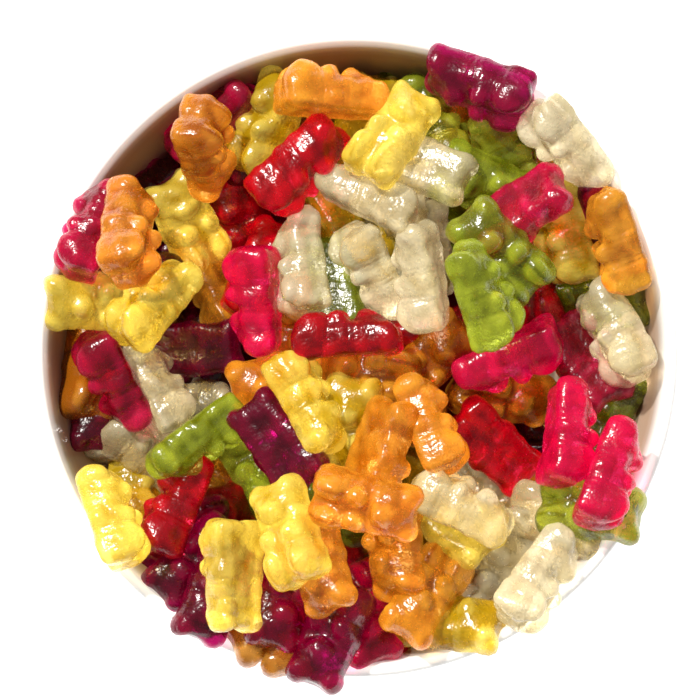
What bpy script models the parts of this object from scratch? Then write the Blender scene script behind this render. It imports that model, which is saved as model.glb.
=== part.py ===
"""A white china bowl heaped with jelly bears.

Metres, +Z up, origin in the middle of the foot's underside. The bowl is turned. The bears are one
solid here, the outer shape of the whole heap: every bear has a place, it settles on what lies below
it, and the heap's top follows the bears that end up highest.
"""
import math

import bmesh
import bpy
import numpy as np

MM = 0.001

# The bowl, in millimetres
RIM_RADIUS = 64.0
RIM_HEIGHT = 57.6
WALL = 2.2              # thickness under the lip
FLOOR = 4.5             # inside floor above the table
INNER_RADIUS = RIM_RADIUS - WALL
LIP_RADIUS = WALL / 2
LIP_HEIGHT = RIM_HEIGHT - LIP_RADIUS
CURVE = 4.25            # power of the wall's curve: higher is a flatter floor and a steeper wall
FOOT_OUTER = 29.0
FOOT_INNER = 25.0
FOOT_HEIGHT = 3.0
FOOT_EDGE = 1.0         # rounding of the foot ring
UNDERSIDE = 1.4         # height of the china inside the foot ring
APEX = 1.0              # height at which the outer curve would meet the axis
TURNS = 72              # facets round the bowl
WALL_POINTS = 9
LIP_STEPS = 6
GAP = 0.3               # clearance between the bears and the china

# The bears, in millimetres and degrees
BEAR_MIDDLE = (11.0, 5.0)        # height and depth of the point that a place names
CORE_TOP = 46.0                  # the lowest bears lie on a low dome
CORE_EDGE = 10.0
HIDDEN = 6                       # bears that lie below all the others
HIDDEN_SPREAD = 30.0
DEEP = 61                        # listed bears that show only in the gaps of the others
LOWEST = 42.0                    # the heap's surface between bears is never below this
HEAP_RINGS = 23
SPREAD = 1.2                     # the heap's solid fills the narrow gaps between bears by this much
OVERHANG = 1.8                   # bears reach this far past the rim

# Balls that fill one bear: half width, height from the feet, depth from the back, radius
BALLS = (
    (2.4, 4.2, 4.4, 4.2), (2.2, 9.0, 4.3, 4.1), (1.8, 15.0, 4.4, 4.2), (0.0, 17.0, 4.3, 4.2),
    (3.6, 19.5, 3.7, 2.3), (0.0, 14.0, 7.9, 2.2), (3.2, 9.0, 7.4, 2.1), (3.9, 3.2, 7.5, 2.7),
    (4.0, 3.2, 3.2, 2.9), (3.4, 9.0, 2.6, 2.5), (3.0, 15.2, 2.6, 2.5),
)

# One row for each bear that shows, from the lowest to the highest: x, y, the heading of its head,
# its roll (0 lies on its back, 90 has its face to the right of its heading) and its pitch
PLACES = (
    (49, 16, 100, 0, 0),
    (-4, 52.5, 0, -90, 0),
    (-22, 48, 100, 0, 0),
    (-38, 37, 45, -90, 0),
    (-5, 33, 70, 0, 0),
    (-16, 26, 20, 180, 0),
    (-12, 30, 110, 90, 0),
    (1, 37, 10, 0, 0),
    (1.5, 46, 80, 180, 0),
    (11.5, 51.5, 142, 0, 0),
    (18.5, 47.5, 75, 0, 0),
    (23.5, 50, 95, 0, 0),
    (38, 37, 70, 0, 0),
    (44, 32, 100, 90, 0),
    (50, 27, 115, 90, 0),
    (46, 14, 20, 0, 0),
    (16, 3, 10, 0, 0),
    (23, -3, 95, 180, 0),
    (-11, 4, 85, 0, 0),
    (-4, 13.5, 95, 180, 0),
    (-3.5, 26, 115, 90, 0),
    (5.5, 23, 100, 0, 0),
    (16.5, 29, 70, 0, 0),
    (16, 22, 60, 0, 0),
    (-34, 27, 30, 0, 0),
    (-33, 6, 60, 0, 0),
    (-28, 9, 130, 0, 0),
    (-49, 12, 10, 0, 0),
    (-45.5, 16.5, 165, 0, 0),
    (-26, -7, 50, 90, 0),
    (-31, -5, 10, 0, 0),
    (-27, -25, 100, 0, 0),
    (-28, -24, 30, 0, 0),
    (-45, -27, 80, 90, 0),
    (-40, -26, 85, 0, 0),
    (-45, -18.5, -20, 0, 0),
    (-30, -33, 20, 0, 0),
    (-4, -38, 80, 0, 0),
    (-4, -34, 10, 0, 0),
    (-11, -27, 0, 0, 0),
    (14, -1.5, 50, 0, 0),
    (7, -9, 150, 0, 0),
    (4, -10, 80, 0, 0),
    (11, -25, 80, 0, 0),
    (15, -27, 100, 0, 0),
    (33, -14, 150, 0, 0),
    (36, -19, 90, 0, 0),
    (34.5, -31, 95, 0, 0),
    (52, -8, 20, 0, 0),
    (49, -14, 70, 0, 0),
    (51, 11, 10, 180, 0),
    (41, 10, 40, 0, 0),
    (-21.5, -52.5, -75, 0, 0),
    (-13, -56, -97, 0, 0),
    (24, -50, -60, 0, 0),
    (42, -35, -25, 0, 0),
    (6.5, -52, -55, 0, 0),
    (20.5, -54.8, -22, -60, -8),
    (-41.5, -18.5, -30, -60, 0),
    (-52, -10.5, -88, 0, 0),
    (-53.3, -2, 88, 12, 0),
    (-36, -37, 200, 0, 0),
    (-27.5, 47, 38, -100, 0),
    (-18.3, 46.5, 76, -60, 0),
    (23, 42, 30, 90, 0),
    (16.5, 45, 108, 90, 0),
    (10, 34, 60, 0, 0),
    (30.5, 41, 118, 80, 0),
    (26, 33.5, 150, 0, 0),
    (14, 36.8, -18, 150, 0),
    (-22.5, 26, 118, 0, 20),
    (-27.5, 14, 125, -120, 0),
    (-31.5, 1, 8, 180, 0),
    (-18, 17, 75, 0, 0),
    (-52.5, 10.5, 178, 0, 0),
    (-14.5, -5.5, 185, 0, 0),
    (-20, -21, 125, 0, 0),
    (-33, -42, 225, 0, 0),
    (-27.5, -47, 248, 0, 0),
    (-36.3, -29.8, 74, -85, 0),
    (1, -4, 160, 0, 0),
    (-1, -14.5, 80, 0, 0),
    (-1.5, 4, 8, -85, 0),
    (29, -8, -17, 0, 0),
    (45.5, -1.5, -65, 150, 0),
    (35, 14, 95, 0, 0),
    (40.5, 24.5, 102, -85, 0),
    (47.5, -30.8, -12, 0, 0),
    (26.5, -29.5, -50, 0, 0),
    (26.5, -42.5, 40, 0, 0),
    (1.5, -52.5, -70, 0, 0),
    (-14, -48, -100, 0, 0),
    (-5.5, -55.5, -115, 0, 0),
    (-8, -41.5, -70, 60, 0),
    (14, -46.5, -119, 0, 15),
    (18.5, -34.5, -50, 180, 0),
    (27, -18.2, -38, 162, 0),
    (33, 28, 28, 120, 0),
    (12.3, 21.5, 98, -60, 0),
    (28.5, 20.5, 129, 10, 0),
    (-34, -9, 10, -90, 0),
    (-48, -5.5, -58, 95, 0),
    (3.3, 31.6, 150, 110, 0),
    (-53.8, 26, 64, -60, 0),
    (-44.6, 24.8, 92, 80, -50),
    (-29.3, 41, -78, -80, -68),
    (-40.1, 11, 53, -75, 0),
    (-10.6, 37, 38, 82, 0),
    (-4.5, 52, -2, -85, 0),
    (7.6, 44, 52, 0, -15),
    (24.3, 52.9, 166, -80, 0),
    (42, 41.3, -54, 85, 0),
    (51.3, 22.8, 116, -75, 0),
    (12.6, 15.5, 104, -90, 0),
    (2.8, 15.8, -60, 85, 0),
    (-20, 10.5, -88, 85, 0),
    (-11.3, 18, 92, -85, 0),
    (25.8, 12.5, 107, 75, 0),
    (50.8, 4.6, 112, -60, 0),
    (-39.2, -6, 116, 100, 0),
    (-31, -17.5, 222, -75, 0),
    (-14.8, -17.3, 132, 180, 0),
    (-9, -9.5, -56, -85, 0),
    (5.3, -19.5, 66, 110, 0),
    (7.5, -38.5, -80, 60, 0),
    (2, -30, -8, 0, 0),
    (21.5, -29.6, -31, -80, 0),
    (14.6, -13.7, 110, 75, 0),
    (30.5, -1.2, 209, -80, 0),
    (50.8, -23.5, 74, 70, 0),
    (42.8, -15.8, 88, 110, 0),
    (37, -44.6, 57, 65, 0),
    (-48, -31.8, 103, 100, 0),
    (-24.9, -44, -87, 122, 0),
    (-13.5, -34.8, 107, -15, 0),
    (-33, 26.2, 121, 5, 5),
)

# How the bears settle
ROUNDS = 300
CAMERA_HEIGHT = 677.6   # places are listed as they look from this height
PULL = 0.35             # share of the way back to its place that a bear moves each round
HIDDEN_PULL = 0.02
FIRST_LEVEL = 30.0
LEVEL_STEP = 0.9
FAST_FALL = 1.0
SLOW_FALL = 0.3
LAST_FALL = 0.06
SQUASH = 0.9            # neighbours press into each other this far
DEEP_SQUASH = 3.5       # and this far among the lowest bears
DEEP_GIVE = 3.0         # the lowest bears give way this much more easily than the others
HEADING_PLAY = 4.5
ROLL_PLAY = 16.0
LIFT = 2.0              # how much of a push apart raises the later bear, and how long it holds
LIFT_HOLD = 3
USUAL_SIZE = 0.97
PITCH_PLAY = 16.0
UNEVEN = 0.025          # bears differ in size by this share
PAIR_REACH = 27.0       # bears whose middles are farther apart than this can't meet
PAIR_MARGIN = 4.0
FALL_ENDS = (0.4, 0.65) # shares of the rounds at which the fall slows
TABLE = -2.0            # the grid round the bowl, and how far and how high it goes
TABLE_EDGE = 84.0
GRID_TOP = 190.0
CELL = 0.5


def clear_scene():
    for item in list(bpy.data.objects):
        bpy.data.objects.remove(item, do_unlink=True)


def make_material(name, colour, roughness, metallic=0.0):
    material = bpy.data.materials.new(name)
    material.use_nodes = True
    shader = material.node_tree.nodes["Principled BSDF"]
    shader.inputs["Base Color"].default_value = (*colour, 1.0)
    shader.inputs["Roughness"].default_value = roughness
    shader.inputs["Metallic"].default_value = metallic
    return material


def inner_height(radius):
    """Height of the bowl's inner surface at a radius."""
    return FLOOR + (LIP_HEIGHT - FLOOR) * (radius / INNER_RADIUS) ** CURVE


def outer_height(radius):
    """Height of the bowl's outer surface at a radius."""
    return APEX + (LIP_HEIGHT - APEX) * (radius / RIM_RADIUS) ** CURVE


def inner_wall(points):
    """The inner surface from the axis to the lip, closer together where the wall is steep."""
    radii = [INNER_RADIUS * math.sin(0.5 * math.pi * k / (points - 1)) for k in range(points)]
    return [(radius, inner_height(radius)) for radius in radii]


def lip(steps, grow=0.0):
    """The round lip from inside to outside, made larger by grow."""
    centre = INNER_RADIUS + LIP_RADIUS
    radius = LIP_RADIUS + grow
    angles = [math.pi * (1 - k / steps) for k in range(steps + 1)]
    return [(centre + radius * math.cos(a), LIP_HEIGHT + radius * math.sin(a)) for a in angles]


def outer_wall(points):
    """The outer surface from under the lip to the foot ring."""
    start = math.asin((FOOT_OUTER + 1.0) / RIM_RADIUS)
    angles = [0.5 * math.pi + (start - 0.5 * math.pi) * k / points for k in range(1, points + 1)]
    return [(RIM_RADIUS * math.sin(a), outer_height(RIM_RADIUS * math.sin(a))) for a in angles]


def foot():
    """The foot ring and the underside, out to in."""
    return [
        (FOOT_OUTER, FOOT_HEIGHT - FOOT_EDGE),
        (FOOT_OUTER - 0.5 * FOOT_EDGE, 0.5 * FOOT_EDGE),
        (FOOT_OUTER - FOOT_EDGE, 0.0),
        (FOOT_INNER + FOOT_EDGE, 0.0),
        (FOOT_INNER + 0.5 * FOOT_EDGE, 0.5 * FOOT_EDGE),
        (FOOT_INNER - 0.5 * FOOT_EDGE, UNDERSIDE),
        (0.0, UNDERSIDE),
    ]


def turned(name, outline):
    """A solid of revolution whose outline runs from the axis, over the top and down its outer side."""
    mesh = bpy.data.meshes.new(name)
    points = [(radius * MM, 0.0, height * MM) for radius, height in outline]
    edges = [(k, k + 1) for k in range(len(points) - 1)]
    mesh.from_pydata(points, edges, [])
    item = bpy.data.objects.new(name, mesh)
    bpy.context.collection.objects.link(item)
    screw = item.modifiers.new("turn", "SCREW")
    screw.steps = TURNS
    screw.render_steps = TURNS
    screw.use_merge_vertices = True
    screw.merge_threshold = 0.00001
    screw.use_smooth_shade = True
    return item


def bear_balls():
    """Ball centres about the bear's middle, and radii."""
    balls = []
    for half_width, height, depth, radius in BALLS:
        for side in ((-1, 1) if half_width else (1,)):
            balls.append((side * half_width, height - BEAR_MIDDLE[0], depth - BEAR_MIDDLE[1], radius))
    return np.array(balls)


def rotations(heading, roll, pitch):
    """Rotation matrices whose columns are a bear's side, its head's direction and its face's."""
    heading, roll, pitch = np.radians(heading), np.radians(roll), np.radians(pitch)
    flat = np.cos(pitch)
    up = np.stack([np.cos(heading) * flat, np.sin(heading) * flat, np.sin(pitch)], -1)
    right = np.stack([np.sin(heading), -np.cos(heading), 0 * heading], -1)
    top = np.cross(right, up)
    front = np.cos(roll)[:, None] * top + np.sin(roll)[:, None] * right
    return np.stack([np.cross(up, front), up, front], -1)


def all_places():
    """Every bear's x, y, heading, roll and pitch, hidden ones first, and its size."""
    rows = []
    for k in range(HIDDEN):
        angle = math.radians(137.5) * k
        radius = HIDDEN_SPREAD * math.sqrt((k + 0.5) / HIDDEN)
        rows.append((radius * math.cos(angle), radius * math.sin(angle), 77.0 * k, 90.0 * k, 0.0))
    rows.extend(PLACES)
    sizes = USUAL_SIZE + UNEVEN * np.sin(2.4 * np.arange(len(rows)))
    return np.array(rows), sizes


def distance_to_china():
    """Distance from the bowl and the table under it, on a grid of radius and height, with its slopes."""
    edge = INNER_RADIUS * ((CORE_EDGE - FLOOR) / (LIP_HEIGHT - FLOOR)) ** (1 / CURVE)
    shares = [k / 6 for k in range(7)]
    dome = [(edge * share, CORE_TOP - (CORE_TOP - CORE_EDGE) * share * share) for share in shares]
    wall = [point for point in inner_wall(16) if point[1] > CORE_EDGE + 0.5]
    outline = [(0.0, TABLE)] + dome + wall + lip(6)[1:]
    outline += [(RIM_RADIUS + 2, 30.0), (TABLE_EDGE, 5.0), (TABLE_EDGE, TABLE)]
    heights = np.arange(TABLE, GRID_TOP, CELL)
    radius, height = np.meshgrid(np.arange(0, TABLE_EDGE, CELL), heights, indexing="ij")
    nearest = np.full(radius.shape, 1e9)
    solid = np.zeros(radius.shape, bool)
    for start, end in zip(outline, outline[1:] + outline[:1]):
        start, end = np.array(start), np.array(end)
        along = end - start
        share = ((radius - start[0]) * along[0] + (height - start[1]) * along[1]) / (along @ along)
        share = np.clip(share, 0, 1)
        gap = np.hypot(radius - start[0] - share * along[0], height - start[1] - share * along[1])
        if start[0] or end[0]:
            nearest = np.minimum(nearest, gap)
        if along[1]:
            crossing = start[0] + (height - start[1]) / along[1] * along[0]
            solid ^= ((start[1] > height) != (end[1] > height)) & (radius < crossing)
    distance = np.where(solid, -nearest, nearest)
    return distance, np.gradient(distance, CELL)


def fit_rigid(points, shape):
    """The middles and rotations that carry each bear's shape nearest to its moved balls."""
    middle = points.mean(1)
    shape_middle = shape.mean(1)
    spread = np.einsum("nki,nkj->nij", points - middle[:, None], shape - shape_middle[:, None])
    left, _, right = np.linalg.svd(spread)
    left[:, :, 2] *= np.sign(np.linalg.det(left @ right))[:, None]
    turn = left @ right
    return middle - np.einsum("nij,nj->ni", turn, shape_middle), turn


def near_pairs(points, radii, middles, count):
    """Pairs of balls of different bears that could meet soon."""
    close = np.linalg.norm(middles[:, None] - middles[None], axis=-1) < PAIR_REACH
    first, second = np.nonzero(np.triu(close, 1))
    own = np.arange(count)
    a = (first[:, None, None] * count + own[None, :, None] + 0 * own[None, None, :]).ravel()
    b = (second[:, None, None] * count + 0 * own[None, :, None] + own[None, None, :]).ravel()
    step = points[a] - points[b]
    keep = (step * step).sum(1) < (radii[a] + radii[b] + PAIR_MARGIN) ** 2
    return a[keep], b[keep]


def push_apart(points, radii, give, pairs, lift):
    """Moves balls that overlap by how easily each gives way, the later bear of each pair upwards."""
    a, b = pairs
    step = points[a] - points[b]
    length = np.sqrt((step * step).sum(1)) + 1e-9
    overlap = radii[a] + radii[b] - length
    meets = overlap > 0
    a, b = a[meets], b[meets]
    way = step[meets] / length[meets, None]
    way[:, 2] -= lift
    way /= np.linalg.norm(way, axis=1)[:, None]
    move = way * (overlap[meets] / (give[a] + give[b]))[:, None]
    total = len(points)
    count = np.bincount(a, minlength=total) + np.bincount(b, minlength=total)
    sums = [
        give * (np.bincount(a, move[:, c], total) - np.bincount(b, move[:, c], total)) for c in range(3)
    ]
    return points + np.stack(sums, 1) / np.sqrt(np.maximum(count, 1))[:, None]


def push_off_china(points, radii, china):
    """Moves balls out of the bowl and off the core."""
    distance, (slope_out, slope_up) = china
    radius = np.hypot(points[:, 0], points[:, 1]) + 1e-9
    i = np.clip((radius / CELL).astype(int), 0, distance.shape[0] - 1)
    j = np.clip(((points[:, 2] - TABLE) / CELL).astype(int), 0, distance.shape[1] - 1)
    depth = np.maximum(radii - 0.5 * SQUASH - distance[i, j], 0)
    out, up = depth * slope_out[i, j] / radius, depth * slope_up[i, j]
    return points + np.stack([out * points[:, 0], out * points[:, 1], up], 1)


def within(value, wanted, play):
    """The value kept within play of the wanted angle."""
    return wanted + np.clip((value - wanted + 180) % 360 - 180, -play, play)


def hold_pose(turn, wanted):
    """Keeps each listed bear near its heading, roll and pitch."""
    heading, roll, pitch = wanted
    up, front = turn[:, :, 1], turn[:, :, 2]
    now = np.arctan2(up[:, 1], up[:, 0])
    right = np.stack([np.sin(now), -np.cos(now), 0 * now], -1)
    top = np.cross(right, up)
    rolled = np.degrees(np.arctan2((front * right).sum(1), (front * top).sum(1)))
    pitched = np.degrees(np.arcsin(np.clip(up[:, 2], -1, 1)))
    return rotations(
        within(np.degrees(now), heading, HEADING_PLAY),
        within(rolled, roll, ROLL_PLAY),
        within(pitched, pitch, PITCH_PLAY),
    )


def settled_bears():
    """Lets the bears sink onto each other; returns every ball's centre and radius."""
    rows, sizes = all_places()
    balls = bear_balls()
    count = len(balls)
    shape = balls[None, :, :3] * sizes[:, None, None]
    radii = (balls[None, :, 3] * sizes[:, None]).ravel()
    goal, wanted = rows[:, :2], rows[:, 2:].T
    hidden = np.arange(len(rows)) < HIDDEN
    deep = np.arange(len(radii)) < (HIDDEN + DEEP) * count
    pressed = radii - 0.5 * np.where(deep, DEEP_SQUASH, SQUASH)
    give = np.where(deep, DEEP_GIVE, 1.0)
    turn = rotations(*wanted)
    middle = np.column_stack([goal, FIRST_LEVEL + LEVEL_STEP * np.arange(len(rows))])
    china = distance_to_china()
    for k in range(ROUNDS):
        late = k / ROUNDS
        fast, slow = late < FALL_ENDS[0], late < FALL_ENDS[1]
        middle[:, 2] -= FAST_FALL if fast else (SLOW_FALL if slow else LAST_FALL)
        nearness = (CAMERA_HEIGHT - middle[:, 2]) / (CAMERA_HEIGHT - RIM_HEIGHT)
        pull = goal * nearness[:, None] - middle[:, :2]
        middle[:, :2] += pull * np.where(hidden, HIDDEN_PULL, PULL)[:, None]
        turn = np.where(hidden[:, None, None], turn, hold_pose(turn, wanted))
        points = (middle[:, None] + np.einsum("nij,nkj->nki", turn, shape)).reshape(-1, 3)
        if k % 8 == 0:
            pairs = near_pairs(points, radii, middle, count)
        for _ in range(2 if fast else 4):
            points = push_apart(points, pressed, give, pairs, LIFT * (1 - late**LIFT_HOLD))
            points = push_off_china(points, radii, china)
            middle, turn = fit_rigid(points.reshape(-1, count, 3), shape)
            points = (middle[:, None] + np.einsum("nij,nkj->nki", turn, shape)).reshape(-1, 3)
    return points, radii


def heap_height(points, radii, x, y):
    """Height of the bears' rounded outer surface over each place, or far below where there is none."""
    top = np.full(x.shape, -1e3)
    for (px, py, pz), radius in zip(points, radii):
        under = (radius + SPREAD) ** 2 - (x - px) ** 2 - (y - py) ** 2
        surface = pz + np.sqrt(np.maximum(under, 0)) - SPREAD
        top = np.maximum(top, np.where(under > 0, surface, -1e3))
    return top


def heap_reach(points, radii, angles):
    """How far out the heap's outline lies in each direction: the wall, or a bear that tops the rim."""
    samples = np.arange(INNER_RADIUS, RIM_RADIUS + OVERHANG, CELL)
    x, y = np.outer(samples, np.cos(angles)), np.outer(samples, np.sin(angles))
    above = heap_height(points, radii, x, y) > RIM_HEIGHT + 1.5
    return np.where(above, samples[:, None], INNER_RADIUS + 0.6).max(0)


def heap_block(points, radii):
    """A closed block under the heap's surface, on rings of six, twelve, eighteen and more points."""
    shape = bmesh.new()
    rings = []
    for ring in range(HEAP_RINGS + 1):
        angles = 2 * math.pi * np.arange(max(6 * ring, 1)) / max(6 * ring, 1)
        radius = heap_reach(points, radii, angles) * ring / HEAP_RINGS
        x, y = radius * np.cos(angles), radius * np.sin(angles)
        height = np.maximum(heap_height(points, radii, x, y), LOWEST)
        rings.append([shape.verts.new(corner) for corner in np.stack([x, y, height], 1) * MM])
    for ring in range(HEAP_RINGS):
        inner, outer = rings[ring], rings[ring + 1]
        for side in range(6):
            for j in range(ring + 1):
                here = side * ring + j
                there = side * (ring + 1) + j
                after = (there + 1) % len(outer)
                shape.faces.new((inner[here % len(inner)], outer[there], outer[after]))
                if j < ring:
                    shape.faces.new((inner[here], outer[after], inner[(here + 1) % len(inner)]))
    top = rings[-1]
    bottom = [shape.verts.new((corner.co.x, corner.co.y, 0)) for corner in top]
    for j in range(len(top)):
        k = (j + 1) % len(top)
        shape.faces.new((top[j], bottom[j], bottom[k], top[k]))
    shape.faces.new(list(reversed(bottom)))
    bmesh.ops.triangulate(shape, faces=shape.faces[:])
    mesh = bpy.data.meshes.new("bear_heap")
    shape.to_mesh(mesh)
    shape.free()
    item = bpy.data.objects.new("bear_heap", mesh)
    bpy.context.collection.objects.link(item)
    return item


def free_space():
    """A guide solid: everything the bears may fill, a small gap clear of the china."""
    wall = inner_wall(WALL_POINTS)
    gapped = [(0.0, FLOOR + GAP)]
    for before, here, after in zip(wall, wall[1:], wall[2:]):
        first = math.atan2(here[1] - before[1], here[0] - before[0])
        second = math.atan2(after[1] - here[1], after[0] - here[0])
        mitre = GAP / math.cos(0.5 * (second - first))
        across = 0.5 * (first + second)
        gapped.append((here[0] - mitre * math.sin(across), here[1] + mitre * math.cos(across)))
    over_lip = [point for point in lip(LIP_STEPS, GAP) if point[0] <= INNER_RADIUS + LIP_RADIUS + 0.01]
    ceiling = RIM_HEIGHT + 40
    outline = [(0.0, ceiling), (RIM_RADIUS + 16, ceiling), (RIM_RADIUS + 16, RIM_HEIGHT + GAP)]
    outline += list(reversed(over_lip)) + list(reversed(gapped))
    guide = turned("free_space", outline)
    guide.hide_render = True
    guide.display_type = "WIRE"
    return guide


def make_bowl():
    bowl = turned("bowl", inner_wall(WALL_POINTS) + lip(LIP_STEPS)[1:] + outer_wall(7) + foot())
    bowl.data.materials.append(make_material("white_glaze", (0.85, 0.84, 0.80), 0.12))
    return bowl


def make_heap():
    points, radii = settled_bears()
    heap = heap_block(points, radii)
    heap.data.materials.append(make_material("jelly", (0.60, 0.10, 0.03), 0.3))
    cut = heap.modifiers.new("inside the bowl", "BOOLEAN")
    cut.operation = "INTERSECT"
    cut.solver = "EXACT"
    cut.object = free_space()
    return heap


clear_scene()
make_bowl()
make_heap()
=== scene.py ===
"""A white china bowl heaped with jelly bears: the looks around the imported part.

Millimetres inside the functions, metres in every mesh. The bears settle exactly as they do in the
part's source, so each one lies where the solid heap has it. They aren't trimmed at the bowl's wall.
"""

import math

import bpy
import numpy as np
import openvdb
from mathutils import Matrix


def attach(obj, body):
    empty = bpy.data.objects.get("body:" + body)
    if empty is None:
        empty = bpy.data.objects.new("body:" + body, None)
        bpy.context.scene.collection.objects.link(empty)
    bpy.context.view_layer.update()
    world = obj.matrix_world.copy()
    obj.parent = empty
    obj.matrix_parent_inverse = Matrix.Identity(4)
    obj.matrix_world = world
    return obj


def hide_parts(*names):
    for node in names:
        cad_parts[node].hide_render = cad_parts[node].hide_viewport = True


MM = 0.001

# The bowl, in millimetres
RIM_RADIUS = 64.0
RIM_HEIGHT = 57.6
WALL = 2.2
FLOOR = 4.5
INNER_RADIUS = RIM_RADIUS - WALL
LIP_RADIUS = WALL / 2
LIP_HEIGHT = RIM_HEIGHT - LIP_RADIUS
CURVE = 4.25
FOOT_OUTER = 29.0
FOOT_INNER = 25.0
FOOT_HEIGHT = 3.0
UNDERSIDE = 1.4
APEX = 1.0
INSIDE_POINTS = 40
LIP_STEPS = 14
OUTSIDE_STEPS = 28
TURN_STEPS = 192                 # sides of the bowl's rings
PINHOLE = 0.02                   # radius left open on the axis

# The bears, in millimetres and degrees
BEAR_MIDDLE = (11.0, 5.0)        # height and depth of the point that a place names
CORE_TOP = 46.0                  # the lowest bears lie on a low dome
CORE_EDGE = 10.0
CORE_POINTS = 24
CORE_STEPS = 96                  # sides of its rings
HIDDEN = 6                       # bears that lie below all the others
HIDDEN_SPREAD = 30.0
DEEP = 61                        # listed bears that show only in the gaps of the others
SECOND = 41                      # listed bears that are half covered; the rest lie on top

# Balls that fill one bear: half width, height from the feet, depth from the back, radius
BALLS = (
    (2.4, 4.2, 4.4, 4.2), (2.2, 9.0, 4.3, 4.1), (1.8, 15.0, 4.4, 4.2), (0.0, 17.0, 4.3, 4.2),
    (3.6, 19.5, 3.7, 2.3), (0.0, 14.0, 7.9, 2.2), (3.2, 9.0, 7.4, 2.1), (3.9, 3.2, 7.5, 2.7),
    (4.0, 3.2, 3.2, 2.9), (3.4, 9.0, 2.6, 2.5), (3.0, 15.2, 2.6, 2.5),
)

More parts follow.
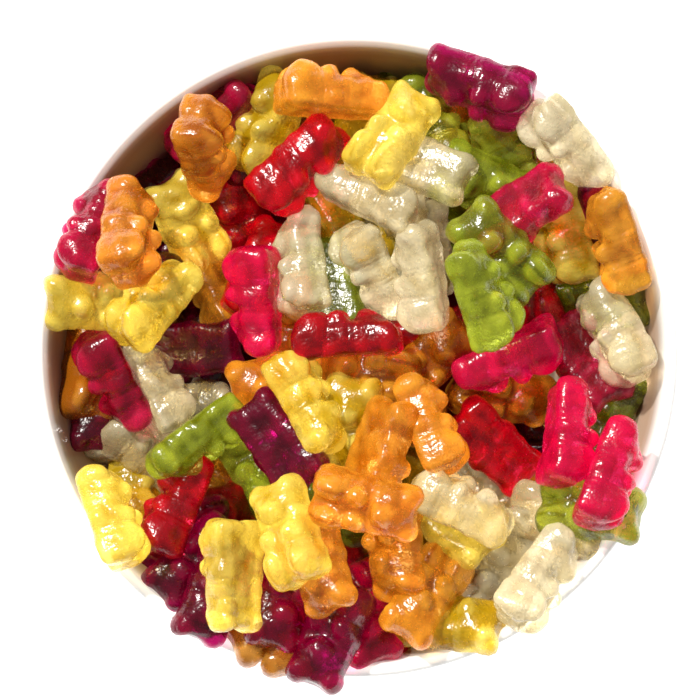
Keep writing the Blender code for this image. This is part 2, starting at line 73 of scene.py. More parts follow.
# One row for each bear that shows, from the lowest to the highest: colour, x, y, the heading of its
# head, its roll (0 lies on its back, 90 has its face to the right of its heading) and its pitch
PLACES = (
    ("orange", 49, 16, 100, 0, 0),
    ("orange", -4, 52.5, 0, -90, 0),
    ("wine", -22, 48, 100, 0, 0),
    ("wine", -38, 37, 45, -90, 0),
    ("red", -5, 33, 70, 0, 0),
    ("red", -16, 26, 20, 180, 0),
    ("wine", -12, 30, 110, 90, 0),
    ("clear", 1, 37, 10, 0, 0),
    ("yellow", 1.5, 46, 80, 180, 0),
    ("green", 11.5, 51.5, 142, 0, 0),
    ("wine", 18.5, 47.5, 75, 0, 0),
    ("orange", 23.5, 50, 95, 0, 0),
    ("red", 38, 37, 70, 0, 0),
    ("orange", 44, 32, 100, 90, 0),
    ("wine", 50, 27, 115, 90, 0),
    ("wine", 46, 14, 20, 0, 0),
    ("red", 16, 3, 10, 0, 0),
    ("red", 23, -3, 95, 180, 0),
    ("orange", -11, 4, 85, 0, 0),
    ("green", -4, 13.5, 95, 180, 0),
    ("yellow", -3.5, 26, 115, 90, 0),
    ("yellow", 5.5, 23, 100, 0, 0),
    ("orange", 16.5, 29, 70, 0, 0),
    ("green", 16, 22, 60, 0, 0),
    ("wine", -34, 27, 30, 0, 0),
    ("orange", -33, 6, 60, 0, 0),
    ("wine", -28, 9, 130, 0, 0),
    ("orange", -49, 12, 10, 0, 0),
    ("wine", -45.5, 16.5, 165, 0, 0),
    ("green", -26, -7, 50, 90, 0),
    ("wine", -31, -5, 10, 0, 0),
    ("wine", -27, -25, 100, 0, 0),
    ("orange", -28, -24, 30, 0, 0),
    ("yellow", -45, -27, 80, 90, 0),
    ("orange", -40, -26, 85, 0, 0),
    ("clear", -45, -18.5, -20, 0, 0),
    ("red", -30, -33, 20, 0, 0),
    ("red", -4, -38, 80, 0, 0),
    ("green", -4, -34, 10, 0, 0),
    ("green", -11, -27, 0, 0, 0),
    ("orange", 14, -1.5, 50, 0, 0),
    ("orange", 7, -9, 150, 0, 0),
    ("wine", 4, -10, 80, 0, 0),
    ("wine", 11, -25, 80, 0, 0),
    ("yellow", 15, -27, 100, 0, 0),
    ("red", 33, -14, 150, 0, 0),
    ("wine", 36, -19, 90, 0, 0),
    ("yellow", 34.5, -31, 95, 0, 0),
    ("green", 52, -8, 20, 0, 0),
    ("green", 49, -14, 70, 0, 0),
    ("green", 51, 11, 10, 180, 0),
    ("green", 41, 10, 40, 0, 0),
    ("orange", -21.5, -52.5, -75, 0, 0),
    ("orange", -13, -56, -97, 0, 0),
    ("wine", 24, -50, -60, 0, 0),
    ("clear", 42, -35, -25, 0, 0),
    ("red", 6.5, -52, -55, 0, 0),
    ("yellow", 20.5, -54.8, -22, -60, -8),
    ("clear", -41.5, -18.5, -30, -60, 0),
    ("wine", -52, -10.5, -88, 0, 0),
    ("orange", -53.3, -2, 88, 12, 0),
    ("wine", -36, -37, 200, 0, 0),
    ("magenta", -27.5, 47, 38, -100, 0),
    ("yellow", -18.3, 46.5, 76, -60, 0),
    ("orange", 23, 42, 30, 90, 0),
    ("green", 16.5, 45, 108, 90, 0),
    ("clear", 10, 34, 60, 0, 0),
    ("green", 30.5, 41, 118, 80, 0),
    ("green", 26, 33.5, 150, 0, 0),
    ("clear", 14, 36.8, -18, 150, 0),
    ("red", -22.5, 26, 118, 0, 20),
    ("orange", -27.5, 14, 125, -120, 0),
    ("wine", -31.5, 1, 8, 180, 0),
    ("red", -18, 17, 75, 0, 0),
    ("yellow", -52.5, 10.5, 178, 0, 0),
    ("orange", -14.5, -5.5, 185, 0, 0),
    ("green", -20, -21, 125, 0, 0),
    ("wine", -33, -42, 225, 0, 0),
    ("wine", -27.5, -47, 248, 0, 0),
    ("red", -36.3, -29.8, 74, -85, 0),
    ("orange", 1, -4, 160, 0, 0),
    ("yellow", -1, -14.5, 80, 0, 0),
    ("red", -1.5, 4, 8, -85, 0),
    ("orange", 29, -8, -17, 0, 0),
    ("magenta", 45.5, -1.5, -65, 150, 0),
    ("red", 35, 14, 95, 0, 0),
    ("yellow", 40.5, 24.5, 102, -85, 0),
    ("green", 47.5, -30.8, -12, 0, 0),
    ("clear", 26.5, -29.5, -50, 0, 0),
    ("clear", 26.5, -42.5, 40, 0, 0),
    ("magenta", 1.5, -52.5, -70, 0, 0),
    ("wine", -14, -48, -100, 0, 0),
    ("wine", -5.5, -55.5, -115, 0, 0),
    ("orange", -8, -41.5, -70, 60, 0),
    ("orange", 14, -46.5, -119, 0, 15),
    ("yellow", 18.5, -34.5, -50, 180, 0),
    ("red", 27, -18.2, -38, 162, 0),
    ("magenta", 33, 28, 28, 120, 0),
    ("clear", 12.3, 21.5, 98, -60, 0),
    ("green", 28.5, 20.5, 129, 10, 0),
    ("clear", -34, -9, 10, -90, 0),
    ("magenta", -48, -5.5, -58, 95, 0),
    ("clear", 3.3, 31.6, 150, 110, 0),
    ("magenta", -53.8, 26, 64, -60, 0),
    ("orange", -44.6, 24.8, 92, 80, -50),
    ("orange", -29.3, 41, -78, -80, -68),
    ("yellow", -40.1, 11, 53, -75, 0),
    ("red", -10.6, 37, 38, 82, 0),
    ("orange", -4.5, 52, -2, -85, 0),
    ("yellow", 7.6, 44, 52, 0, -15),
    ("wine", 24.3, 52.9, 166, -80, 0),
    ("clear", 42, 41.3, -54, 85, 0),
    ("orange", 51.3, 22.8, 116, -75, 0),
    ("clear", 12.6, 15.5, 104, -90, 0),
    ("clear", 2.8, 15.8, -60, 85, 0),
    ("magenta", -20, 10.5, -88, 85, 0),
    ("clear", -11.3, 18, 92, -85, 0),
    ("green", 25.8, 12.5, 107, 75, 0),
    ("clear", 50.8, 4.6, 112, -60, 0),
    ("clear", -39.2, -6, 116, 100, 0),
    ("green", -31, -17.5, 222, -75, 0),
    ("wine", -14.8, -17.3, 132, 180, 0),
    ("yellow", -9, -9.5, -56, -85, 0),
    ("orange", 5.3, -19.5, 66, 110, 0),
    ("orange", 7.5, -38.5, -80, 60, 0),
    ("orange", 2, -30, -8, 0, 0),
    ("clear", 21.5, -29.6, -31, -80, 0),
    ("orange", 14.6, -13.7, 110, 75, 0),
    ("magenta", 30.5, -1.2, 209, -80, 0),
    ("magenta", 50.8, -23.5, 74, 70, 0),
    ("magenta", 42.8, -15.8, 88, 110, 0),
    ("clear", 37, -44.6, 57, 65, 0),
    ("yellow", -48, -31.8, 103, 100, 0),
    ("yellow", -24.9, -44, -87, 122, 0),
    ("yellow", -13.5, -34.8, 107, -15, 0),
    ("yellow", -33, 26.2, 121, 5, 5),
)
HIDDEN_COLOURS = ("wine", "red", "orange", "magenta", "yellow", "green")

# The bears' skins, in millimetres; the three tiers are the low, the half covered and the top bears
SKIN_STEPS = (0.95, 0.72, 0.58)  # how far apart each tier's points are
SKIN_BOX = ((-8.0, -1.5, -1.5), (8.0, 23.5, 12.0))
FAR = 10.0                       # distance that the grid has beyond its points
SLOPE_STEP = 0.2
PROBE = 4.0                      # how deep below its skin a bear is tested for thin jelly
FIRST_SEED = 1000
WAVES = 14
WAVE_LENGTHS = (2.2, 6.0)
WAVE_HEIGHT = 0.035
CREASES = (7.2, 12.2)            # heights of the waist and the neck
CREASE_REACH = (-2.4, -0.4)      # how far from them the ridges start and are full
FLANK = (3.2, 4.8)               # distances from the middle between which the flank begins
TWIST = 0.012                    # the most that a bear is twisted, bent and stretched
LEAN = 0.006
BOW = 0.004
WIDER = 0.04
LONGER = 0.025
THICKER = 0.03

# Light in the heap, painted into the colours, from 0 in the dark to 1
TIER_LIGHT = (-0.50, -0.10, 0.05)  # painted shade: less light reaches the lower bears
WAVE_LIGHT = 0.5
OWN_LIGHT = 0.15                   # bears differ in brightness by this much
GRAIN_SHIFT = (31.0, 0.0, 17.0)    # each bear's grain is taken from another place
LAMP_TINT = 0.60                   # share of a lamp's light that passes through a bear
DUSK = (51.0, 57.4)                # heights between which the bowl's wall goes from the sweets' painted shade to a painted glow

# The view and the floor, in millimetres
CAMERA_RISE = 620.0                # the camera's height above the rim
CAMERA_PLACE = (-1.09, 0.89)
SEEN_WIDTH = 138.7                 # how much the camera sees at the rim's height
SENSOR = 36.0
FLOOR_EDGE = 1500.0
KEY_TILT = (-33, -29)              # degrees about X and about Y

# How the bears settle
ROUNDS = 300
CAMERA_HEIGHT = 677.6   # places are listed as they look from this height
PULL = 0.35             # share of the way back to its place that a bear moves each round
HIDDEN_PULL = 0.02
FIRST_LEVEL = 30.0
LEVEL_STEP = 0.9
FAST_FALL = 1.0
SLOW_FALL = 0.3
LAST_FALL = 0.06
SQUASH = 0.9            # neighbours press into each other this far
DEEP_SQUASH = 3.5       # and this far among the lowest bears
DEEP_GIVE = 3.0         # the lowest bears give way this much more easily than the others
HEADING_PLAY = 4.5
ROLL_PLAY = 16.0
LIFT = 2.0              # how much of a push apart raises the later bear, and how long it holds
LIFT_HOLD = 3
USUAL_SIZE = 0.97
PITCH_PLAY = 16.0
UNEVEN = 0.025          # bears differ in size by this share
PAIR_REACH = 27.0       # bears whose middles are farther apart than this can't meet
PAIR_MARGIN = 4.0
FALL_ENDS = (0.4, 0.65)  # shares of the rounds at which the fall slows
TABLE = -2.0            # the grid round the bowl, and how far and how high it goes
TABLE_EDGE = 84.0
GRID_TOP = 190.0
CELL = 0.5


def inner_height(radius):
    """Height of the bowl's inner surface at a radius."""
    return FLOOR + (LIP_HEIGHT - FLOOR) * (radius / INNER_RADIUS) ** CURVE


def outer_height(radius):
    """Height of the bowl's outer surface at a radius."""
    return APEX + (LIP_HEIGHT - APEX) * (radius / RIM_RADIUS) ** CURVE


def inner_wall(points):
    """The inner surface from the axis to the lip, closer together where the wall is steep."""
    radii = [INNER_RADIUS * math.sin(0.5 * math.pi * k / (points - 1)) for k in range(points)]
    return [(radius, inner_height(radius)) for radius in radii]


def lip(steps, grow=0.0):
    """The round lip from inside to outside, made larger by grow."""
    centre = INNER_RADIUS + LIP_RADIUS
    radius = LIP_RADIUS + grow
    angles = [math.pi * (1 - k / steps) for k in range(steps + 1)]
    return [(centre + radius * math.cos(a), LIP_HEIGHT + radius * math.sin(a)) for a in angles]


def bear_balls():
    """Ball centres about the bear's middle, and radii."""
    balls = []
    for half_width, height, depth, radius in BALLS:
        for side in ((-1, 1) if half_width else (1,)):
            balls.append((side * half_width, height - BEAR_MIDDLE[0], depth - BEAR_MIDDLE[1], radius))
    return np.array(balls)


def rotations(heading, roll, pitch):
    """Rotation matrices whose columns are a bear's side, its head's direction and its face's."""
    heading, roll, pitch = np.radians(heading), np.radians(roll), np.radians(pitch)
    flat = np.cos(pitch)
    up = np.stack([np.cos(heading) * flat, np.sin(heading) * flat, np.sin(pitch)], -1)
    right = np.stack([np.sin(heading), -np.cos(heading), 0 * heading], -1)
    top = np.cross(right, up)
    front = np.cos(roll)[:, None] * top + np.sin(roll)[:, None] * right
    return np.stack([np.cross(up, front), up, front], -1)


def all_places():
    """Every bear's x, y, heading, roll and pitch, hidden ones first, and its size."""
    rows = []
    for k in range(HIDDEN):
        angle = math.radians(137.5) * k
        radius = HIDDEN_SPREAD * math.sqrt((k + 0.5) / HIDDEN)
        rows.append((radius * math.cos(angle), radius * math.sin(angle), 77.0 * k, 90.0 * k, 0.0))
    rows.extend(place[1:] for place in PLACES)
    sizes = USUAL_SIZE + UNEVEN * np.sin(2.4 * np.arange(len(rows)))
    return np.array(rows), sizes


def distance_to_china():
    """Distance from the bowl and the table under it, on a grid of radius and height, with its slopes."""
    edge = INNER_RADIUS * ((CORE_EDGE - FLOOR) / (LIP_HEIGHT - FLOOR)) ** (1 / CURVE)
    shares = [k / 6 for k in range(7)]
    dome = [(edge * share, CORE_TOP - (CORE_TOP - CORE_EDGE) * share * share) for share in shares]
    wall = [point for point in inner_wall(16) if point[1] > CORE_EDGE + 0.5]
    outline = [(0.0, TABLE)] + dome + wall + lip(6)[1:]
    outline += [(RIM_RADIUS + 2, 30.0), (TABLE_EDGE, 5.0), (TABLE_EDGE, TABLE)]
    heights = np.arange(TABLE, GRID_TOP, CELL)
    radius, height = np.meshgrid(np.arange(0, TABLE_EDGE, CELL), heights, indexing="ij")
    nearest = np.full(radius.shape, 1e9)
    solid = np.zeros(radius.shape, bool)
    for start, end in zip(outline, outline[1:] + outline[:1]):
        start, end = np.array(start), np.array(end)
        along = end - start
        share = ((radius - start[0]) * along[0] + (height - start[1]) * along[1]) / (along @ along)
        share = np.clip(share, 0, 1)
        gap = np.hypot(radius - start[0] - share * along[0], height - start[1] - share * along[1])
        if start[0] or end[0]:
            nearest = np.minimum(nearest, gap)
        if along[1]:
            crossing = start[0] + (height - start[1]) / along[1] * along[0]
            solid ^= ((start[1] > height) != (end[1] > height)) & (radius < crossing)
    distance = np.where(solid, -nearest, nearest)
    return distance, np.gradient(distance, CELL)


def fit_rigid(points, shape):
    """The middles and rotations that carry each bear's shape nearest to its moved balls."""
    middle = points.mean(1)
    shape_middle = shape.mean(1)
    spread = np.einsum("nki,nkj->nij", points - middle[:, None], shape - shape_middle[:, None])
    left, _, right = np.linalg.svd(spread)
    left[:, :, 2] *= np.sign(np.linalg.det(left @ right))[:, None]
    turn = left @ right
    return middle - np.einsum("nij,nj->ni", turn, shape_middle), turn


def near_pairs(points, radii, middles, count):
    """Pairs of balls of different bears that could meet soon."""
    close = np.linalg.norm(middles[:, None] - middles[None], axis=-1) < PAIR_REACH
    first, second = np.nonzero(np.triu(close, 1))
    own = np.arange(count)
    a = (first[:, None, None] * count + own[None, :, None] + 0 * own[None, None, :]).ravel()
    b = (second[:, None, None] * count + 0 * own[None, :, None] + own[None, None, :]).ravel()
    step = points[a] - points[b]
    keep = (step * step).sum(1) < (radii[a] + radii[b] + PAIR_MARGIN) ** 2
    return a[keep], b[keep]


def push_apart(points, radii, give, pairs, lift):
    """Moves balls that overlap by how easily each gives way, the later bear of each pair upwards."""
    a, b = pairs
    step = points[a] - points[b]
    length = np.sqrt((step * step).sum(1)) + 1e-9
    overlap = radii[a] + radii[b] - length
    meets = overlap > 0
    a, b = a[meets], b[meets]
    way = step[meets] / length[meets, None]
    way[:, 2] -= lift
    way /= np.linalg.norm(way, axis=1)[:, None]
    move = way * (overlap[meets] / (give[a] + give[b]))[:, None]
    total = len(points)
    count = np.bincount(a, minlength=total) + np.bincount(b, minlength=total)
    sums = [
        give * (np.bincount(a, move[:, c], total) - np.bincount(b, move[:, c], total)) for c in range(3)
    ]
    return points + np.stack(sums, 1) / np.sqrt(np.maximum(count, 1))[:, None]


def push_off_china(points, radii, china):
    """Moves balls out of the bowl and off the core."""
    distance, (slope_out, slope_up) = china
    radius = np.hypot(points[:, 0], points[:, 1]) + 1e-9
    i = np.clip((radius / CELL).astype(int), 0, distance.shape[0] - 1)
    j = np.clip(((points[:, 2] - TABLE) / CELL).astype(int), 0, distance.shape[1] - 1)
    depth = np.maximum(radii - 0.5 * SQUASH - distance[i, j], 0)
    out, up = depth * slope_out[i, j] / radius, depth * slope_up[i, j]
    return points + np.stack([out * points[:, 0], out * points[:, 1], up], 1)


def within(value, wanted, play):
    """The value kept within play of the wanted angle."""
    return wanted + np.clip((value - wanted + 180) % 360 - 180, -play, play)


def hold_pose(turn, wanted):
    """Keeps each listed bear near its heading, roll and pitch."""
    heading, roll, pitch = wanted
    up, front = turn[:, :, 1], turn[:, :, 2]
    now = np.arctan2(up[:, 1], up[:, 0])
    right = np.stack([np.sin(now), -np.cos(now), 0 * now], -1)
    top = np.cross(right, up)
    rolled = np.degrees(np.arctan2((front * right).sum(1), (front * top).sum(1)))
    pitched = np.degrees(np.arcsin(np.clip(up[:, 2], -1, 1)))
    return rotations(
        within(np.degrees(now), heading, HEADING_PLAY),
        within(rolled, roll, ROLL_PLAY),
        within(pitched, pitch, PITCH_PLAY),
    )


def settled_bears():
    """Lets the bears sink onto each other; returns each one's middle, rotation and size."""
    rows, sizes = all_places()
    balls = bear_balls()
    count = len(balls)
    shape = balls[None, :, :3] * sizes[:, None, None]
    radii = (balls[None, :, 3] * sizes[:, None]).ravel()
    goal, wanted = rows[:, :2], rows[:, 2:].T
    hidden = np.arange(len(rows)) < HIDDEN
    deep = np.arange(len(radii)) < (HIDDEN + DEEP) * count
    pressed = radii - 0.5 * np.where(deep, DEEP_SQUASH, SQUASH)
    give = np.where(deep, DEEP_GIVE, 1.0)
    turn = rotations(*wanted)
    middle = np.column_stack([goal, FIRST_LEVEL + LEVEL_STEP * np.arange(len(rows))])
    china = distance_to_china()
    for k in range(ROUNDS):
        late = k / ROUNDS
        fast, slow = late < FALL_ENDS[0], late < FALL_ENDS[1]
        middle[:, 2] -= FAST_FALL if fast else (SLOW_FALL if slow else LAST_FALL)
        nearness = (CAMERA_HEIGHT - middle[:, 2]) / (CAMERA_HEIGHT - RIM_HEIGHT)
        pull = goal * nearness[:, None] - middle[:, :2]
        middle[:, :2] += pull * np.where(hidden, HIDDEN_PULL, PULL)[:, None]
        turn = np.where(hidden[:, None, None], turn, hold_pose(turn, wanted))
        points = (middle[:, None] + np.einsum("nij,nkj->nki", turn, shape)).reshape(-1, 3)
        if k % 8 == 0:
            pairs = near_pairs(points, radii, middle, count)
        for _ in range(2 if fast else 4):
            points = push_apart(points, pressed, give, pairs, LIFT * (1 - late**LIFT_HOLD))
            points = push_off_china(points, radii, china)
            middle, turn = fit_rigid(points.reshape(-1, count, 3), shape)
            points = (middle[:, None] + np.einsum("nij,nkj->nki", turn, shape)).reshape(-1, 3)
    return middle, turn, sizes


# The bear's shape: distances in millimetres from a surface, x across, y from feet to ears, z from
# back to front. Each returns less than nothing inside the shape.


def oval(p, centre, radii):
    q = p - np.array(centre)
    near = np.linalg.norm(q / np.array(radii), axis=-1)
    slope = np.linalg.norm(q / np.array(radii) ** 2, axis=-1)
    return near * (near - 1) / np.maximum(slope, 1e-6)


def pillow(p, centre, half, rounding):
    q = np.abs(p - np.array(centre)) - (np.array(half) - rounding)
    return np.linalg.norm(np.maximum(q, 0), axis=-1) + np.minimum(q.max(axis=-1), 0) - rounding


def limb(p, start, end, start_radius, end_radius):
    start, end = np.array(start), np.array(end)
    along = end - start
    share = np.clip(((p - start) @ along) / (along @ along), 0, 1)
    thickness = start_radius + (end_radius - start_radius) * share
    return np.linalg.norm(p - start - share[..., None] * along, axis=-1) - thickness


def joined(a, b, blend):
    """The two shapes together, with the crease between them filled by a fillet."""
    overlap = np.maximum(blend - np.abs(a - b), 0) / blend
    return np.minimum(a, b) - overlap * overlap * blend / 4


def carved(a, b, blend):
    return -joined(-a, b, blend)


def bear_field(p):
    """One whole bear, 22 mm tall: a flat moulded back, head, snout, ears, paws and two long legs."""
    half = p.copy()
    half[..., 0] = np.abs(half[..., 0])
    back = pillow(half, (0, 8.0, 3.7), (5.6, 7.4, 3.7), 2.2)
    trunk = joined(back, oval(half, (0, 8.0, 4.7), (4.4, 5.4, 4.0)), 1.4)
    nape = pillow(half, (0, 16.5, 3.6), (5.4, 4.5, 3.6), 2.3)
    skull = joined(nape, oval(half, (0, 16.0, 5.0), (4.6, 4.0, 4.2)), 1.4)
    head = joined(skull, oval(half, (3.9, 19.8, 3.7), (2.1, 2.2, 3.1)), 1.3)
    head = joined(head, oval(half, (0, 14.7, 7.9), (2.5, 2.0, 2.4)), 1.2)
    paw = limb(half, (3.9, 10.4, 3.0), (2.8, 9.4, 8.2), 2.45, 1.95)
    thigh = oval(half, (3.2, 4.2, 5.5), (2.75, 4.2, 4.9))
    leg = joined(thigh, pillow(half, (3.2, 3.2, 3.6), (2.9, 3.2, 3.6), 1.8), 1.2)
    body = joined(trunk, paw, 0.9)
    body = joined(body, leg, 0.8)
    body = joined(body, head, 0.8)
    eye = oval(half, (1.9, 17.0, 9.4), (0.8, 0.8, 0.9))
    body = carved(body, eye, 0.8)
    hollow = 0.45 * np.exp(-((p[..., 0] / 2.6) ** 2)) * np.exp(-(((p[..., 1] - 10) / 8.5) ** 4))
    return carved(body, p[..., 2] - hollow, 1.3)


def bear_surface(step):
    """The bear's skin, with points about one step apart: points, four-sided faces, the direction
    that leaves it at each point and how thin the jelly is there."""
    low, high = np.array(SKIN_BOX)
    counts = np.ceil((high - low) / step).astype(int) + 1
    axes = [low[k] + step * np.arange(counts[k]) for k in range(3)]
    grid = openvdb.FloatGrid(FAR)
    places = np.stack(np.meshgrid(*axes, indexing="ij"), -1)
    grid.copyFromArray((bear_field(places) / step).astype(np.float32))
    points, faces = grid.convertToQuads(0.0)
    points = np.asarray(points) * step + low
    outward = skin_slope(points)
    depth = -bear_field(points - PROBE * outward)
    return points, np.asarray(faces), outward, np.clip(1 - depth / PROBE, 0, 1)


def skin_slope(points):
    """The direction that leaves the bear's skin at each point."""
    steps = SLOPE_STEP * np.eye(3)
    slope = np.stack([bear_field(points + step) - bear_field(points - step) for step in steps], 1)
    return slope / np.maximum(np.linalg.norm(slope, axis=1), 1e-6)[:, None]


def smooth_step(values, low, high):
    share = np.clip((values - low) / (high - low), 0, 1)
    return share * share * (3 - 2 * share)


def creased(points):
    """Where the flanks have fine ridges: beside the waist and the neck."""
    flank = smooth_step(np.abs(points[:, 0]), *FLANK)
    return flank * sum(smooth_step(-np.abs(points[:, 1] - crease), *CREASE_REACH) for crease in CREASES)


def own_shape(points, outward, k):
    """The bear's points about its middle, bent, twisted and stretched in its own way, and their waves."""
    chance = np.random.default_rng(FIRST_SEED + k)
    lean, bow, twist, width, length, puff = chance.uniform(-1, 1, 6)
    waves = np.zeros(len(points))
    for _ in range(WAVES):
        way = chance.normal(size=3)
        way *= 2 * math.pi / (chance.uniform(*WAVE_LENGTHS) * np.linalg.norm(way))
        waves += np.sin(points @ way + chance.uniform(0, 2 * math.pi))
    points = points + outward * (WAVE_HEIGHT * waves)[:, None] - np.array((0, *BEAR_MIDDLE))
    x, y, z = points.T
    angle = TWIST * twist * y
    x, z = x * np.cos(angle) - z * np.sin(angle), x * np.sin(angle) + z * np.cos(angle)
    x = x * (1 + WIDER * width) + LEAN * lean * y * y
    z = z * (1 + THICKER * puff) + BOW * bow * y * y
    return np.stack([x, y * (1 + LONGER * length), z], 1), waves / WAVES


def mesh_piece(name, points, faces, material, attributes=()):
    """An object in metres from points in millimetres, smooth, with a material."""
    mesh = bpy.data.meshes.new(name)
    mesh.vertices.add(len(points))
    mesh.vertices.foreach_set("co", (points * MM).ravel())
    corners = faces.shape[1]
    mesh.loops.add(faces.size)
    mesh.loops.foreach_set("vertex_index", faces.ravel())
    mesh.polygons.add(len(faces))
    mesh.polygons.foreach_set("loop_start", np.arange(0, faces.size, corners))
    for label, values in attributes:
        kind, field = ("FLOAT", "value") if values.ndim == 1 else ("FLOAT_VECTOR", "vector")
        layer = mesh.attributes.new(label, kind, "POINT")
        layer.data.foreach_set(field, values.astype(np.float32).ravel())
    mesh.update(calc_edges=True)
    mesh.shade_smooth()
    mesh.materials.append(material)
    item = bpy.data.objects.new(name, mesh)
    bpy.context.collection.objects.link(item)
    return item


# Shader maths: a Value wraps a socket, and arithmetic on values adds Math nodes


class Value:
    def __init__(self, paint, socket):
        self.paint = paint
        self.socket = socket

    def _with(self, operation, first, second):
        made = self.paint.node("ShaderNodeMath", {"operation": operation}, {0: first, 1: second})
        return Value(self.paint, made.outputs[0])

    def __add__(self, other):
        return self._with("ADD", self, other)

    __radd__ = __add__

    def __sub__(self, other):
        return self._with("SUBTRACT", self, other)

    def __rsub__(self, other):
        return self._with("SUBTRACT", other, self)

    def __mul__(self, other):
        return self._with("MULTIPLY", self, other)

    __rmul__ = __mul__


class Paint:
    """One material's nodes, around its Principled shader."""

    def __init__(self, name):
        self.material = bpy.data.materials.new(name)
        self.material.use_nodes = True
        self.tree = self.material.node_tree
        self.shader = self.tree.nodes["Principled BSDF"]

    def plug(self, socket, source):
        if isinstance(source, Value):
            source = source.socket
        if isinstance(source, bpy.types.NodeSocket):
            self.tree.links.new(source, socket)
        else:
            socket.default_value = source

    def node(self, kind, settings=None, sockets=None):
        made = self.tree.nodes.new(kind)
        for key, value in (settings or {}).items():
            setattr(made, key, value)
        for key, source in (sockets or {}).items():
            self.plug(made.inputs[key], source)
        return made

    def value(self, kind, settings=None, sockets=None, output=0):
        return Value(self, self.node(kind, settings, sockets).outputs[output])

    def mix(self, factor, first, second):
        """A colour between two, by a factor from 0 to 1."""
        made = self.node("ShaderNodeMix", {"data_type": "RGBA"}, {"Factor": factor, 6: first, 7: second})
        return made.outputs[2]

    def let_lamp_through(self, tint):
        """Rays from a lamp pass through, tinted, so that jelly lights what lies under it."""
        ray = self.value("ShaderNodeLightPath", output=1)
        clear = self.node("ShaderNodeBsdfTransparent", {}, {"Color": tint})
        sides = {"Fac": ray, 1: self.shader.outputs[0], 2: clear.outputs[0]}
        both = self.node("ShaderNodeMixShader", {}, sides)
        self.tree.links.new(both.outputs[0], self.tree.nodes["Material Output"].inputs["Surface"])

    def finish(self, **sockets):
        for key, source in sockets.items():
            self.plug(self.shader.inputs[key.replace("_", " ")], source)
        return self.material


def colour(red, green, blue):
    return (red, green, blue, 1.0)


def jelly(name, deep, bright, clear, painted_glow=0.22):
    """Cloudy fruit jelly with a moulded, grainy skin. Its colour is painted light: bright where it is thin
    and darker deeper in the heap, with a faint painted inner glow.
    """
    paint = Paint(name)
    own = paint.node("ShaderNodeAttribute", {"attribute_name": "own"}).outputs["Vector"]
    light = paint.value("ShaderNodeAttribute", {"attribute_name": "light"}, output=2)
    ridge = paint.value("ShaderNodeAttribute", {"attribute_name": "ridge"}, output=2)
    grain = paint.value("ShaderNodeTexNoise", {}, {"Vector": own, "Scale": 1.2, "Detail": 1.0})
    height = paint.value("ShaderNodeSeparateXYZ", {}, {0: own}, output=1)
    creases = ridge * paint.value("ShaderNodeMath", {"operation": "SINE"}, {0: height * 4.6 + grain * 3.0})
    relief = grain * 0.3 + creases * 0.06
    bump = paint.node("ShaderNodeBump", {}, {"Strength": 1.0, "Distance": 0.0005, "Height": relief})
    paint.let_lamp_through(colour(LAMP_TINT, LAMP_TINT, LAMP_TINT))
    return paint.finish(
        # painted light and shade: the colour runs from the shaded colour (deep) to the lit one (bright) by
        # the light mark
        Base_Color=paint.mix(light, deep, bright),
        # painted inner glow: an emission that is brighter where the light mark is high
        Emission_Color=paint.mix(light, colour(0.0, 0.0, 0.0), bright),
        Emission_Strength=painted_glow,
        Roughness=0.14 + grain * 0.2,
        Normal=bump.outputs[0],
        IOR=1.42,
        Transmission_Weight=clear,
    )


def packed_jelly():
    """The dark red mass that fills the bowl below the sweets that show; its dark red is painted shade."""
    paint = Paint("packed_jelly")
    place = paint.node("ShaderNodeTexCoord").outputs["Object"]
    cloud = paint.value("ShaderNodeTexNoise", {}, {"Vector": place, "Scale": 90.0, "Detail": 2.0})
    bump = paint.node("ShaderNodeBump", {}, {"Strength": 1.0, "Distance": 0.003, "Height": cloud})
    # painted shade: dark reds for the sweets deep in the heap
    base = paint.mix(cloud, colour(0.05, 0.0, 0.004), colour(0.22, 0.004, 0.006))
    return paint.finish(Base_Color=base, Roughness=0.3, Normal=bump.outputs[0])


def glaze():
    """White porcelain glaze, faintly wavy, with painted shade: tan low on the inner wall where it lies in
    the sweets' shade, and a painted glow up to the rim.
    """
    paint = Paint("white_glaze")
    place = paint.node("ShaderNodeTexCoord").outputs["Object"]
    cloud = paint.value("ShaderNodeTexNoise", {}, {"Vector": place, "Scale": 35.0, "Detail": 2.0})
    speck = paint.value("ShaderNodeTexNoise", {}, {"Vector": place, "Scale": 900.0, "Detail": 1.0})
    light = paint.value("ShaderNodeAttribute", {"attribute_name": "light"}, output=2)
    white = paint.mix(cloud, colour(0.80, 0.79, 0.76), colour(0.87, 0.86, 0.84))
    # painted shade: tan where the light mark is low
    base = paint.mix(light, colour(0.46, 0.33, 0.24), white)
    bump = paint.node("ShaderNodeBump", {}, {"Strength": 0.15, "Distance": 0.0005, "Height": cloud})
    return paint.finish(
        Base_Color=base,
        Roughness=0.10 + speck * 0.06,
        Normal=bump.outputs[0],
        Coat_Weight=0.6,
        Coat_Roughness=0.04,
        # painted light: a glow where the light mark is above 1, high on the inner wall and over the lip
        Emission_Color=paint.mix(light - 1.0, colour(0.0, 0.0, 0.0), colour(0.50, 0.48, 0.46)),
        Emission_Strength=1.0,
    )


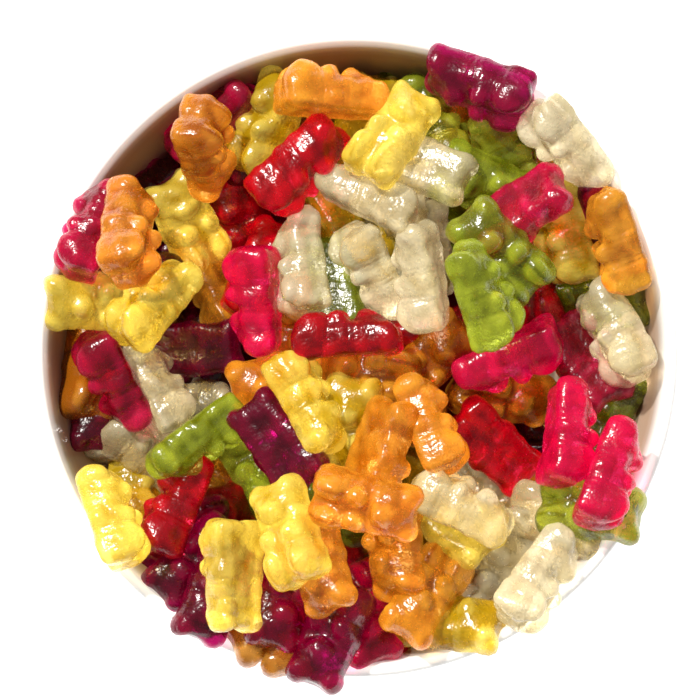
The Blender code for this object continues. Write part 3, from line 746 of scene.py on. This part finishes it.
def bears():
    """Every bear in its place, one joined mesh for each colour."""
    middle, turn, sizes = settled_bears()
    skins = [bear_surface(step) for step in SKIN_STEPS]
    colours = HIDDEN_COLOURS[:HIDDEN] + tuple(place[0] for place in PLACES)
    gathered = {}
    for k, shade in enumerate(colours):
        tier = 0 if k < HIDDEN + DEEP else (1 if k < HIDDEN + DEEP + SECOND else 2)
        points, faces, outward, thin = skins[tier]
        shaped, waves = own_shape(points, outward, k)
        placed = (shaped * sizes[k]) @ turn[k].T + middle[k]
        own = points + k * np.array(GRAIN_SHIFT)
        # painted light: thin jelly lit brighter and the lower tiers in painted shade, with the waves and
        # each bear's own tone
        light = thin + WAVE_LIGHT * waves + OWN_LIGHT * math.sin(12.9 * k) + TIER_LIGHT[tier]
        gathered.setdefault(shade, []).append((placed, faces, own, light, creased(points)))
    for shade, bunch in gathered.items():
        starts = np.cumsum([0] + [len(item[0]) for item in bunch])
        faces = np.concatenate([item[1] + start for item, start in zip(bunch, starts)])
        points, own, light, ridge = (np.concatenate([item[k] for item in bunch]) for k in (0, 2, 3, 4))
        marks = (("own", own), ("light", light), ("ridge", ridge))
        piece = mesh_piece(f"{shade}_bears", points, faces, JELLIES[shade], marks)
        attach(piece, "root")
        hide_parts("bear_heap")


def turned_piece(name, outline, material, steps, light=None):
    """A surface of revolution of an outline of radii and heights, with a light value for each."""
    outline = np.array(outline)
    angles = 2 * math.pi * np.arange(steps) / steps
    ring = np.stack([np.cos(angles), np.sin(angles)], 1)
    points = np.concatenate([
        np.column_stack([radius * ring, np.full(steps, height)]) for radius, height in outline
    ])
    rows = []
    for k in range(len(outline) - 1):
        here = k * steps + np.arange(steps)
        after = k * steps + (np.arange(steps) + 1) % steps
        rows.append(np.stack([here, here + steps, after + steps, after], 1))
    marks = [("light", np.repeat(light, steps))] if light else []
    return mesh_piece(name, points, np.concatenate(rows), material, marks)


def bowl():
    """The whole bowl, from the middle of its floor over the lip and down to the foot."""
    start = math.asin((FOOT_OUTER + 1.0) / RIM_RADIUS)
    steps = range(1, OUTSIDE_STEPS + 1)
    angles = [0.5 * math.pi + (start - 0.5 * math.pi) * k / OUTSIDE_STEPS for k in steps]
    outside = [(RIM_RADIUS * math.sin(a), outer_height(RIM_RADIUS * math.sin(a))) for a in angles]
    foot = [
        (FOOT_OUTER + 0.25, FOOT_HEIGHT - 0.6), (FOOT_OUTER, FOOT_HEIGHT - 1.2), (FOOT_OUTER - 0.2, 0.7),
        (FOOT_OUTER - 0.6, 0.15), (FOOT_OUTER - 1.3, 0.0), (FOOT_INNER + 1.2, 0.0),
        (FOOT_INNER + 0.6, 0.15), (FOOT_INNER + 0.1, 0.7), (FOOT_INNER - 0.5, UNDERSIDE),
        (FOOT_INNER - 1.5, UNDERSIDE), (PINHOLE, UNDERSIDE),
    ]
    inside = inner_wall(INSIDE_POINTS)
    inside[0] = (PINHOLE, FLOOR)
    rim = lip(LIP_STEPS)[1:]
    # painted shade low on the inner wall and a painted glow above it and over the lip; light above 1 makes
    # the glaze glow
    light = [2.0 * float(smooth_step(height, *DUSK)) for _, height in inside]
    light += [2.0 - (k + 1) / len(rim) for k in range(len(rim))]
    light += [1.0] * len(outside + foot)
    piece = turned_piece("china_bowl", inside + rim + outside + foot, GLAZE, TURN_STEPS, light)
    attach(piece, "root")
    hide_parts("bowl")


def core():
    """The dark mass of sweets below the ones that show, coloured in painted shade."""
    edge = INNER_RADIUS * ((CORE_EDGE - FLOOR) / (LIP_HEIGHT - FLOOR)) ** (1 / CURVE) - 0.6
    shares = np.linspace(0.001, 1, CORE_POINTS)
    top = [(edge * share, CORE_TOP - 1 - (CORE_TOP - CORE_EDGE) * share * share) for share in shares]
    under = [(edge * share, max(inner_height(edge * share) + 0.5, FLOOR + 0.5)) for share in shares[::-1]]
    piece = turned_piece("deep_sweets", top + under[1:], PACKED, CORE_STEPS)
    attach(piece, "root")
    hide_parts("bear_heap")


def stage():
    """A pale floor that gives off light, a sun-like key from the upper left, a soft fill and the
    camera straight above."""
    paint = Paint("pale_floor")
    place = paint.node("ShaderNodeTexCoord").outputs["Object"]
    cloud = paint.value("ShaderNodeTexNoise", {}, {"Vector": place, "Scale": 6.0})
    material = paint.finish(
        Base_Color=paint.mix(cloud, colour(0.93, 0.93, 0.93), colour(0.96, 0.96, 0.96)),
        Roughness=0.8,
        Emission_Color=colour(1.0, 1.0, 1.0),
        Emission_Strength=0.8,
    )
    corners = FLOOR_EDGE * np.array(((-1.0, -1.0, 0.0), (1.0, -1.0, 0.0), (1.0, 1.0, 0.0), (-1.0, 1.0, 0.0)))
    floor = mesh_piece("floor", corners, np.array(((0, 1, 2, 3),)), material)

    sun = bpy.data.lights.new("key", "SUN")
    sun.energy = 5.8
    sun.angle = math.radians(2.5)
    sun.color = (1.0, 0.97, 0.92)
    key = bpy.data.objects.new("key", sun)
    key.rotation_euler = (math.radians(KEY_TILT[0]), math.radians(KEY_TILT[1]), 0)
    bpy.context.collection.objects.link(key)

    world = bpy.data.worlds.new("studio")
    world.use_nodes = True
    world.node_tree.nodes["Background"].inputs["Color"].default_value = (0.95, 0.97, 1.0, 1.0)
    world.node_tree.nodes["Background"].inputs["Strength"].default_value = 0.30
    bpy.context.scene.world = world
    scene = bpy.context.scene
    scene.view_settings.view_transform = "Standard"
    scene.cycles.max_bounces = 4
    scene.cycles.diffuse_bounces = 2
    scene.cycles.transparent_max_bounces = 4

    lens = bpy.data.cameras.new("view")
    lens.lens = SENSOR * CAMERA_RISE / SEEN_WIDTH
    lens.clip_start = 0.05
    camera = bpy.data.objects.new("view", lens)
    camera.location = (CAMERA_PLACE[0] * MM, CAMERA_PLACE[1] * MM, (RIM_HEIGHT + CAMERA_RISE) * MM)
    bpy.context.collection.objects.link(camera)
    bpy.context.scene.camera = camera


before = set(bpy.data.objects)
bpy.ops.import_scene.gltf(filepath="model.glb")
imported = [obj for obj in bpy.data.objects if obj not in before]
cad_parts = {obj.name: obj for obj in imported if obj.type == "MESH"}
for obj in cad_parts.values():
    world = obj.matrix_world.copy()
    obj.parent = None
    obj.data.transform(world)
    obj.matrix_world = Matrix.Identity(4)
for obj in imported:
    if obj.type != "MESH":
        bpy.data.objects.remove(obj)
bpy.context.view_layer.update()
# each jelly's shaded and lit colour, the ends of its painted light, then its clear share and, for clear
# jelly, its painted glow
JELLIES = {
    "red": jelly("red_jelly", colour(0.28, 0.0, 0.004), colour(0.78, 0.001, 0.012), 0.68),
    "magenta": jelly("raspberry_jelly", colour(0.30, 0.0, 0.018), colour(0.84, 0.003, 0.085), 0.68),
    "wine": jelly("blackcurrant_jelly", colour(0.09, 0.0, 0.01), colour(0.32, 0.0, 0.04), 0.68),
    "orange": jelly("orange_jelly", colour(0.52, 0.15, 0.004), colour(1.0, 0.44, 0.035), 0.64),
    "yellow": jelly("lemon_jelly", colour(0.60, 0.38, 0.006), colour(0.98, 0.78, 0.13), 0.60),
    "green": jelly("lime_jelly", colour(0.17, 0.20, 0.004), colour(0.53, 0.60, 0.045), 0.66),
    "clear": jelly("clear_jelly", colour(0.62, 0.50, 0.26), colour(0.93, 0.83, 0.57), 0.66, 0.13),
}
GLAZE = glaze()
PACKED = packed_jelly()
bears()
bowl()
core()
stage()
